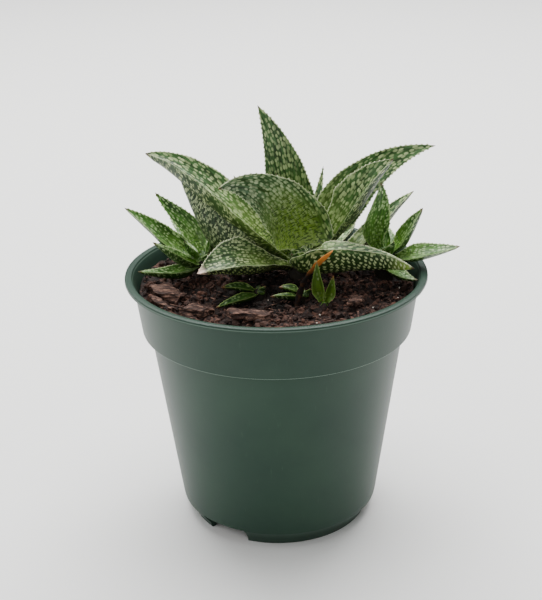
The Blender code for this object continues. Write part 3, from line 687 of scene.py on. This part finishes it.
# crumbs of the mix: most are fine, every 6th is bigger and every 27th is a lump, all radii in mm
crumbLook = {"count": 4200, "reach": 67.5, "fine": (0.35, 0.9), "bigger": (0.9, 1.6), "lump": (1.6, 2.5),
             "biggerEvery": 6, "lumpEvery": 27, "squash": ((0.8, 1.6), (0.7, 1.1), (0.5, 0.9)),
             "shades": (0.0, 0.0, 0.1, 0.3, 0.6), "jitter": (0.8, 0.5), "lift": 0.15, "batch": 100}
# crumbs heaped against the foot of each young stem
heapLook = {"count": 70, "reach": (0.7, 1.9), "height": 2.6, "fall": 0.8}


def addBatch(whole, part):
    # thousands of small shapes build much faster in batches than in one growing mesh
    mesh = bpy.data.meshes.new("batch")
    part.to_mesh(mesh)
    part.free()
    whole.from_mesh(mesh)
    bpy.data.meshes.remove(mesh)


def addCrumb(bm, shadeLayer, x, y, size):
    detail = 2 if size > crumbLook["bigger"][1] else 1
    made = bmesh.ops.create_icosphere(bm, subdivisions=detail, radius=size)["verts"]
    turn = Matrix.Rotation(random.uniform(0, math.tau), 3, Vector(random.uniform(-1, 1) for _ in range(3)))
    squash = Vector([random.uniform(*ends) for ends in crumbLook["squash"]])
    fromPup = min(math.hypot(x - stems[name][0][0], y - stems[name][0][1]) for name in youngStems)
    heap = max(heapLook["height"] - heapLook["fall"] * fromPup, 0.0)
    seat = Vector((x, y, soilHeight(x, y) + crumbLook["lift"] * size + random.uniform(0, 1) * heap))
    shade = random.choice(crumbLook["shades"])
    least, spare = crumbLook["jitter"]
    for vert in made:
        jitter = least + spare * random.random()
        vert.co = turn @ (Vector(a * b for a, b in zip(vert.co, squash)) * jitter) + seat
        vert[shadeLayer] = shade


def buildCrumbs(finish):
    places = [freeSpot(crumbLook["reach"]) for _ in range(crumbLook["count"])]
    for name in youngStems:
        (x, y, _), radius = stems[name]
        for _ in range(heapLook["count"]):
            places.append(aroundMiddle(x, y, lambda: radius * random.uniform(*heapLook["reach"])))
    bm = bmesh.new()
    bm.verts.layers.float.new("shade")
    for first in range(0, len(places), crumbLook["batch"]):
        part = bmesh.new()
        shadeLayer = part.verts.layers.float.new("shade")
        for index, (x, y) in enumerate(places[first:first + crumbLook["batch"]], first):
            size = random.uniform(*crumbLook["fine" if index % crumbLook["biggerEvery"] else "bigger"])
            if index % crumbLook["lumpEvery"] == 0:
                size = random.uniform(*crumbLook["lump"])
            addCrumb(part, shadeLayer, x, y, size)
        addBatch(bm, part)
    toMetres(bm)
    return makePiece("soil_crumbs", bm, finish, flat=True)


# expanded perlite: white volcanic glass foam, small chalky grains; the first three are where they show
perliteLook = {"finish": {"Base Color": "cfc8bb", "Roughness": 0.9}, "count": 26, "reach": 66,
               "seen": ((20.5, -41.5), (46.0, -38.0), (-62.0, 2.0)), "radius": (0.35, 0.75), "lift": 0.3,
               "least": 0.85, "uneven": 0.3, "unevenScale": 1.6}


def buildPerlite():
    material = startMaterial("expandedPerlite", perliteLook["finish"])[0]
    bm = bmesh.new()
    look, seen = perliteLook, perliteLook["seen"]
    for index in range(look["count"]):
        x, y = seen[index] if index < len(seen) else freeSpot(look["reach"])
        size = random.uniform(*look["radius"])
        made = bmesh.ops.create_icosphere(bm, subdivisions=2, radius=size)["verts"]
        seat = Vector((x, y, soilHeight(x, y) + look["lift"] * size))
        for vert in made:
            uneven = look["uneven"] * noise.noise(vert.co * look["unevenScale"] + seat)
            vert.co = vert.co * (look["least"] + uneven) + seat
    toMetres(bm)
    return makePiece("perlite_grains", bm, material, flat=True)


soilFinish = makeSoilFinish()
buildSoil(soilFinish)
buildCrumbs(soilFinish)
buildPerlite()
print("soil built")


# pine bark: reddish brown, split along its layers, rough and dull

barkLook = {"matt": {"Roughness": 0.85, "Specular IOR Level": 0.3},
            "stops": ((0.36, "150e0b"), (0.52, "452f27"), (0.76, "ab8470")),
            "fibreSpace": {"Rotation": (0, 0, 0.4), "Scale": (180.0, 900.0, 900.0)},
            "fibres": {"Scale": 1.0, "Detail": 5.0, "Roughness": 0.65},
            "bump": {"Strength": 0.8, "Distance": 0.0007}}
# place, length, width and thickness in mm, then turn and tilt in degrees
barkChips = {"bark_chip_left": ((-54, -19), 19, 9, 3, -35, 6),
             "bark_chip_left_edge": ((-55, -32), 16, 4, 2, -48, 10),
             "bark_chip_front": ((-38, -42), 16, 8, 3, 10, 4),
             "bark_chip_middle": ((-13, -50), 20, 7, 3, -6, 3),
             "bark_chip_right": ((38, -36), 13, 6, 2.5, 70, 8),
             "bark_chip_back": ((-24, 52), 17, 8, 3, 25, 5)}
# pulls and splits are in mm or shares of the width and thickness
chipForm = {"cuts": 15, "taper": 0.45, "seeds": (0, 40, 80), "roughScale": 0.21,
            "fineScale": (0.35, 1.3, 1.6), "wander": 0.5, "fine": 0.35, "pull": 1.5, "split": 0.8,
            "splitScale": 1.1, "swell": 0.35, "sink": 0.4}


def makeBarkFinish():
    material, add, dress = startMaterial("pineBark", barkLook["matt"])
    spot = add("TexCoord", out="Object")
    fibreSpace = add("Mapping", {"Vector": spot, **barkLook["fibreSpace"]})
    fibres = add("TexNoise", {"Vector": fibreSpace, **barkLook["fibres"]})
    layers = add("ValToRGB", {"Fac": fibres}, stops=barkLook["stops"])
    dress({"Base Color": layers, "Normal": add("Bump", {"Height": fibres, **barkLook["bump"]})})
    return material


def buildBarkChip(name, finish):
    (x, y), length, wide, thick, turn, tilt = barkChips[name]
    form, splitScale = chipForm, chipForm["splitScale"]
    bm = bmesh.new()
    bmesh.ops.create_cube(bm, size=1.0)
    bmesh.ops.subdivide_edges(bm, edges=bm.edges, cuts=form["cuts"], use_grid_fill=True)
    bmesh.ops.scale(bm, vec=(length, wide, thick), verts=bm.verts)
    for vert in bm.verts:
        own = vert.co.copy()
        rough = [noise.noise(own * form["roughScale"] + Vector((x, y, seed))) for seed in form["seeds"]]
        stretched = [place * scale for place, scale in zip(own, form["fineScale"])]
        fine = noise.noise(Vector((stretched[0], stretched[1], stretched[2] + x)))
        end = 1 - form["taper"] * (2 * own.x / length) ** 2
        split = noise.noise(Vector((own.y * splitScale, own.z, x)))
        vert.co.y = own.y * end + form["wander"] * wide * rough[1] + form["fine"] * fine
        vert.co.x += form["pull"] * rough[0] + form["split"] * split
        vert.co.z += form["swell"] * thick * rough[2] + form["fine"] * fine
    lie = Matrix.Rotation(math.radians(turn), 3, 'Z') @ Matrix.Rotation(math.radians(tilt), 3, 'Y')
    bmesh.ops.rotate(bm, cent=(0, 0, 0), matrix=lie, verts=bm.verts)
    toMetres(bm)
    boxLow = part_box(name)[0]
    ownLow = min(vert.co.z for vert in bm.verts)
    bmesh.ops.translate(bm, vec=(x * mm, y * mm, boxLow[2] - ownLow - form["sink"] * mm), verts=bm.verts)
    return makePiece(name + "_rough", bm, finish, name)


# thin tapered bark fibres that lie on the mix
splinterLook = {"count": 320, "reach": 65, "length": (2.5, 8.0), "sides": 5, "thickEnd": (0.3, 0.7),
                "thinEnd": 0.12, "tilt": (76, 100), "lift": 0.55, "flatten": (0.6, 1.3)}


def buildSplinters(finish):
    look = splinterLook
    narrow, broad = look["flatten"]
    bm = bmesh.new()
    for _ in range(look["count"]):
        x, y = freeSpot(look["reach"])
        length, thickEnd = random.uniform(*look["length"]), random.uniform(*look["thickEnd"])
        made = bmesh.ops.create_cone(bm, cap_ends=True, segments=look["sides"], radius1=thickEnd,
                                     radius2=look["thinEnd"], depth=length)["verts"]
        turn, tilt = random.uniform(0, math.tau), math.radians(random.uniform(*look["tilt"]))
        lie = Matrix.Rotation(turn, 3, 'Z') @ Matrix.Rotation(tilt, 3, 'Y')
        seat = Vector((x, y, soilHeight(x, y) + look["lift"]))
        for vert in made:
            vert.co = lie @ Vector((vert.co.x * narrow, vert.co.y * broad, vert.co.z)) + seat
    toMetres(bm)
    return makePiece("bark_splinters", bm, finish, flat=True)


barkFinish = makeBarkFinish()
for chip in barkChips:
    buildBarkChip(chip, barkFinish)
buildSplinters(barkFinish)
print("bark built")


# dried leaf: shrivelled orange tissue that turns brown at its foot

driedLook = {"matt": {"Roughness": 0.8, "Specular IOR Level": 0.25}, "orange": "b8702c", "brown": "140b06",
             "climb": between(0.140, 0.149), "mottle": {"Scale": 500.0, "Detail": 3.0},
             "mottleShare": 0.5, "mottleShift": 0.25, "bump": {"Strength": 0.6, "Distance": 0.0004}}
driedForm = {"foot": (9.5, -32.5, 124.9), "top": (27.0, -31.0, 153.3), "rows": 60, "columns": 16, "twist": 15,
             "bow": (-3, 0, 1.5), "sway": (0, 1.2, 0), "swayTurn": 5, "half": (1.2, 0.7),
             "pinch": (0.85, 0.25), "pinchTurn": 9, "ragged": 0.3, "raggedRate": 12, "lean": -0.3,
             "depth": (0, 0.42, 0.15), "curl": 0.5, "curlRate": 9, "weld": 0.002}


def makeDriedSkin():
    material, add, dress = startMaterial("driedLeafSkin", driedLook["matt"])
    spot = add("TexCoord", out="Object")
    height = add("SeparateXYZ", {"Vector": spot}, "Z")
    climb = add("MapRange", {"Value": height, **driedLook["climb"]})
    mottle = add("TexNoise", {"Vector": spot, **driedLook["mottle"]})
    mottled = add("Math", {0: mottle, 1: driedLook["mottleShare"], 2: climb}, **timesPlus)
    level = add("Math", {0: mottled, 1: driedLook["mottleShift"]}, **minus)
    colour = add("Mix", {0: level, 6: driedLook["brown"], 7: driedLook["orange"]}, **colourMix)
    dress({"Base Color": colour, "Normal": add("Bump", {"Height": mottle, **driedLook["bump"]})})
    return material


def buildDriedLeaf():
    form = driedForm
    foot, top, bow, sway = (Vector(form[key]) for key in ("foot", "top", "bow", "sway"))
    bm = bmesh.new()
    bmesh.ops.create_grid(bm, x_segments=form["columns"], y_segments=form["rows"], size=0.5)
    for vert in bm.verts:
        turn, t = (vert.co.x + 0.5) * math.tau, vert.co.y + 0.5
        point = foot.lerp(top, t) + bow * math.sin(math.pi * t)
        point += sway * math.sin(form["swayTurn"] * t)
        ragged = 1 + form["ragged"] * noise.noise(Vector((t * form["raggedRate"], 1, 2)))
        pinch = form["pinch"][0] + form["pinch"][1] * math.sin(form["pinchTurn"] * t)
        half = (form["half"][0] + form["half"][1] * t) * pinch * ragged * (1 - t ** 8)
        spin = Matrix.Rotation(math.radians(form["twist"] * t), 3, 'Z')
        across, deep = spin @ Vector((half, 0, form["lean"] * half)), spin @ Vector(form["depth"])
        curl = form["curl"] * noise.noise(Vector((t * form["curlRate"], math.cos(turn), 3)))
        vert.co = (point + across * math.cos(turn) + deep * (math.sin(turn) + curl)) * mm
    closeSkin(bm, form["weld"])
    return makePiece("dried_leaf_skin", bm, makeDriedSkin(), "dried_leaf")


buildDriedLeaf()
print("dried leaf built")


# stem skin: dark brown low down beside the mix, pale green between the leaf bases above

stemLook = {"matt": {"Roughness": 0.7}, "mottle": {"Scale": 260.0, "Detail": 4.0},
            "tones": (("0e0a06", "2a2413"), ("33501a", "7c9440")), "climb": between(0.134, 0.138)}


def makeStemSkin():
    material, add, dress = startMaterial("stemSkin", stemLook["matt"])
    spot = add("TexCoord", out="Object")
    mottle = add("TexNoise", {"Vector": spot, **stemLook["mottle"]})
    lowTone, green = (add("Mix", {0: mottle, 6: dark, 7: pale}, **colourMix) for dark, pale in stemLook["tones"])
    height = add("SeparateXYZ", {"Vector": spot}, "Z")
    climb = add("MapRange", {"Value": height, **stemLook["climb"]})
    dress({"Base Color": add("Mix", {0: climb, 6: lowTone, 7: green}, **colourMix)})
    return material


stemSkin = makeStemSkin()
for name in stems:
    stem = bpy.data.objects["stem_" + name]
    for materialSlot in stem.material_slots:
        materialSlot.material = stemSkin
print("stems dressed")


# pot: injection-moulded polypropylene, dark green, soft sheen with a faint moulded grain

potLook = {"sheen": {"Roughness": 0.42, "IOR": 1.49, "Specular IOR Level": 0.2},
           "green": "243a2f", "worn": "38503f", "pale": "93a99a",
           "clouds": {"Scale": 22.0, "Detail": 5.0}, "cloudFade": between(0.42, 0.75, 0.3),
           "scuffSpace": {"Rotation": (0.5, 0.3, 0.2), "Scale": (900.0, 900.0, 60.0)},
           "scuffs": {"Scale": 1.0, "Detail": 2.0}, "scuffFade": between(0.68, 0.78),
           "scuffShare": 0.3, "edgeHighlights": ((0.10325, 0.0004, 0.6), (0.1308, 0.0003, 0.2)),
           "grain": {"Scale": 1400.0, "Detail": 2.0}, "bump": {"Strength": 0.2, "Distance": 0.0001}}
notches = {"angles": (-126.0, -6.0, 114.0), "span": 29.0, "inner": 41.0, "roof": 9.0}
potForm = {"sides": 256, "sharpAngle": 40}
potOutline = [(0, 0), (28, 0), (29.2, 0.5), (30, 2), (41, 2), (42.6, 2), (43.1, 0.4), (43.6, 0), (45.4, 0),
              (45.9, 0.5), (46.6, 3), (50.9, 8.5), (51.13, 9.0), (51.6, 11.6), (64.33, 102.2),
              (64.6, 102.8), (67.6, 103.2), (68.2, 103.5), (68.45, 104.2), (71.85, 128.6), (72.2, 129.3),
              (72.8, 129.6), (75.3, 129.6), (75.8, 129.8), (76, 130.3), (76, 131.1), (75.8, 131.7),
              (75.2, 132), (73.4, 132), (72.6, 131.8), (72.2, 131.2), (70.3, 127.6), (67.2, 104.8),
              (62.9, 102.3), (49.72, 9.5), (49.41, 9.0), (46.2, 4.5), (43.8, 3.5), (41, 3.5), (30.4, 3.5),
              (28.4, 1.5), (0, 1.5)]


def makePotPlastic():
    look = potLook
    material, add, dress = startMaterial("mouldedPolypropylene", look["sheen"])
    spot = add("TexCoord", out="Object")
    clouds = add("TexNoise", {"Vector": spot, **look["clouds"]})
    scuffSpace = add("Mapping", {"Vector": spot, **look["scuffSpace"]})
    scuffs = add("TexNoise", {"Vector": scuffSpace, **look["scuffs"]})
    scuffMask = add("MapRange", {"Value": scuffs, **look["scuffFade"]})
    cloudMask = add("MapRange", {"Value": clouds, **look["cloudFade"]})
    level = add("Math", {0: scuffMask, 1: look["scuffShare"], 2: cloudMask}, **timesPlus)
    colour = add("Mix", {0: level, 6: look["green"], 7: look["worn"]}, **colourMix)
    # painted highlights: thin pale lines are painted along the edge under the rim band and along the lip,
    # where the light catches them
    height = add("SeparateXYZ", {"Vector": spot}, "Z")
    for middle, half, strength in look["edgeHighlights"]:
        edge = add("Math", {0: height, 1: middle, 2: half}, operation='COMPARE')
        highlightLine = add("Math", {0: edge, 1: strength}, **times)
        colour = add("Mix", {0: highlightLine, 6: colour, 7: look["pale"]}, **colourMix)
    grain = add("TexNoise", {"Vector": spot, **look["grain"]})
    dress({"Base Color": colour, "Normal": add("Bump", {"Height": grain, **look["bump"]})})
    return material


def buildPot():
    # one turned wall with three drain notches cut through its foot
    bm = bmesh.new()
    spinOutline(bm, potOutline, potForm["sides"])
    for angle in notches["angles"]:
        middle = Vector((math.cos(math.radians(angle)), math.sin(math.radians(angle))))
        cut = [face for face in bm.faces
               if all(vert.co.z < notches["roof"] + slack for vert in face.verts)
               and all(vert.co.xy.length > notches["inner"] - slack for vert in face.verts)
               and face.calc_center_median().xy.angle(middle) < math.radians(notches["span"] / 2)]
        bmesh.ops.delete(bm, geom=cut, context='FACES')
        bmesh.ops.bridge_loops(bm, edges=[edge for edge in bm.edges if edge.is_boundary])
    toMetres(bm)
    pot = makePiece("pot_wall", bm, makePotPlastic(), "pot")
    pot.data.set_sharp_from_angle(angle=math.radians(potForm["sharpAngle"]))


buildPot()
print("pot built")


# studio: floor of matt pale paint, which shows no reflections, and large soft lights

studio = {"paint": {"Base Color": "f6f6f4", "Roughness": 0.8}, "floorRadius": 4.0, "floorSides": 96,
          "world": "ffffff", "worldStrength": 0.3}
softLights = {"topSoftbox": {"place": (0.0, 0.25, 1.3), "size": (1.2, 1.0), "power": 25, "aim": (0, 0, 0.12)},
              "backSoftbox": {"place": (0.0, 1.3, 1.5), "size": (2.6, 1.0), "power": 62, "aim": (0, 1.3, 0)},
              "frontFill": {"place": (-0.2, -1.3, 1.1), "size": (1.0, 0.6), "power": 5, "aim": (0, 0, 0.12)},
              "leftSoftbox": {"place": (-1.1, -0.2, 0.55), "size": (0.7, 1.0), "power": 4.5,
                              "aim": (0, 0, 0.1)},
              "rightSoftbox": {"place": (1.2, -0.1, 0.55), "size": (0.7, 1.0), "power": 1.5,
                               "aim": (0, 0, 0.1)}}


def makeFloor(scene):
    bm = bmesh.new()
    bmesh.ops.create_circle(bm, cap_ends=True, segments=studio["floorSides"], radius=studio["floorRadius"])
    mesh = bpy.data.meshes.new("studioFloor")
    bm.to_mesh(mesh)
    bm.free()
    mesh.materials.append(startMaterial("palePaint", studio["paint"])[0])
    floor = bpy.data.objects.new("studioFloor", mesh)
    scene.collection.objects.link(floor)


def makeStudio():
    scene = bpy.context.scene
    world = bpy.data.worlds.new("paleStudio")
    world.use_nodes = True
    background = world.node_tree.nodes["Background"]
    setInputs(world.node_tree, background, {"Color": studio["world"], "Strength": studio["worldStrength"]})
    scene.world = world
    makeFloor(scene)
    for name, values in softLights.items():
        data = bpy.data.lights.new(name, 'AREA')
        data.shape = 'RECTANGLE'
        data.size, data.size_y = values["size"]
        data.energy = values["power"]
        light = bpy.data.objects.new(name, data)
        light.location = values["place"]
        aim = Vector(values["aim"]) - Vector(values["place"])
        light.rotation_euler = aim.to_track_quat('-Z', 'Y').to_euler()
        scene.collection.objects.link(light)


makeStudio()
print("studio set")
